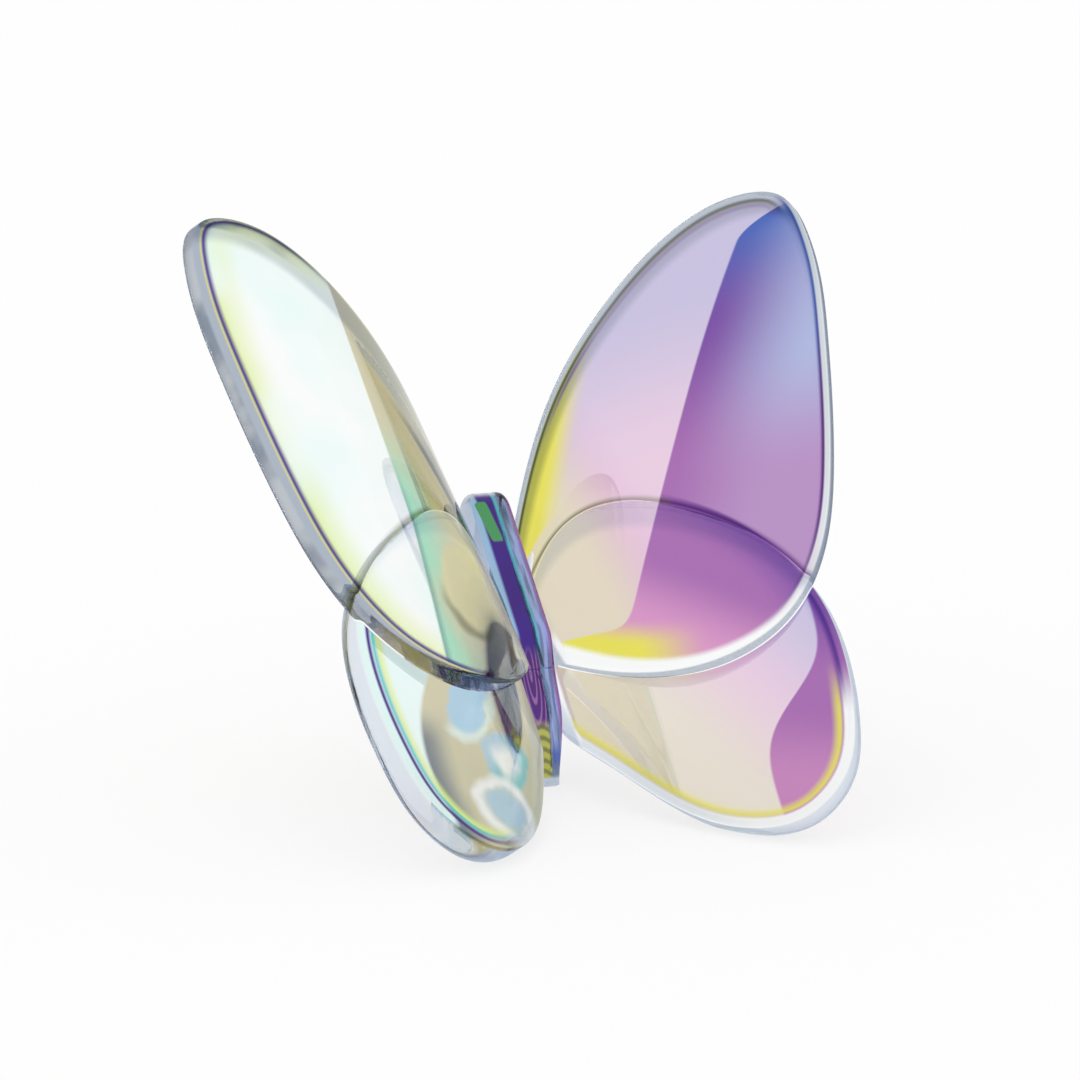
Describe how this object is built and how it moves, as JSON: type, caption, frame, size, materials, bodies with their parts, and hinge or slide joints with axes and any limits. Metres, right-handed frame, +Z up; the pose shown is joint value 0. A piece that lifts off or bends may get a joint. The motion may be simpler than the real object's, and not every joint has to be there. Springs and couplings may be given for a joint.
{
  "type": "butterfly ornament",
  "caption": "Free-standing butterfly ornament in clear iridescent crystal: curved fore and hind wings joined to a slim body that leans back on its tail.",
  "frame": {"origin": "on the table, below the middle of the ornament's box", "axes": "+Z up; +X to the right wings; the V between the wings opens towards -Y; mirror-symmetric in X"},
  "size_m": [0.0764, 0.0596, 0.0647],
  "materials": {
    "forewing_glass": "polished, thin iridescent coating",
    "hindwing_glass": "polished, thin iridescent coating",
    "body_glass": "polished, thin iridescent coating"
  },
  "bodies": {
    "root": {"body": "body_glass", "left_forewing": "forewing_glass", "right_forewing": "forewing_glass", "left_hindwing": "hindwing_glass", "right_hindwing": "hindwing_glass"}
  },
  "joints": []
}
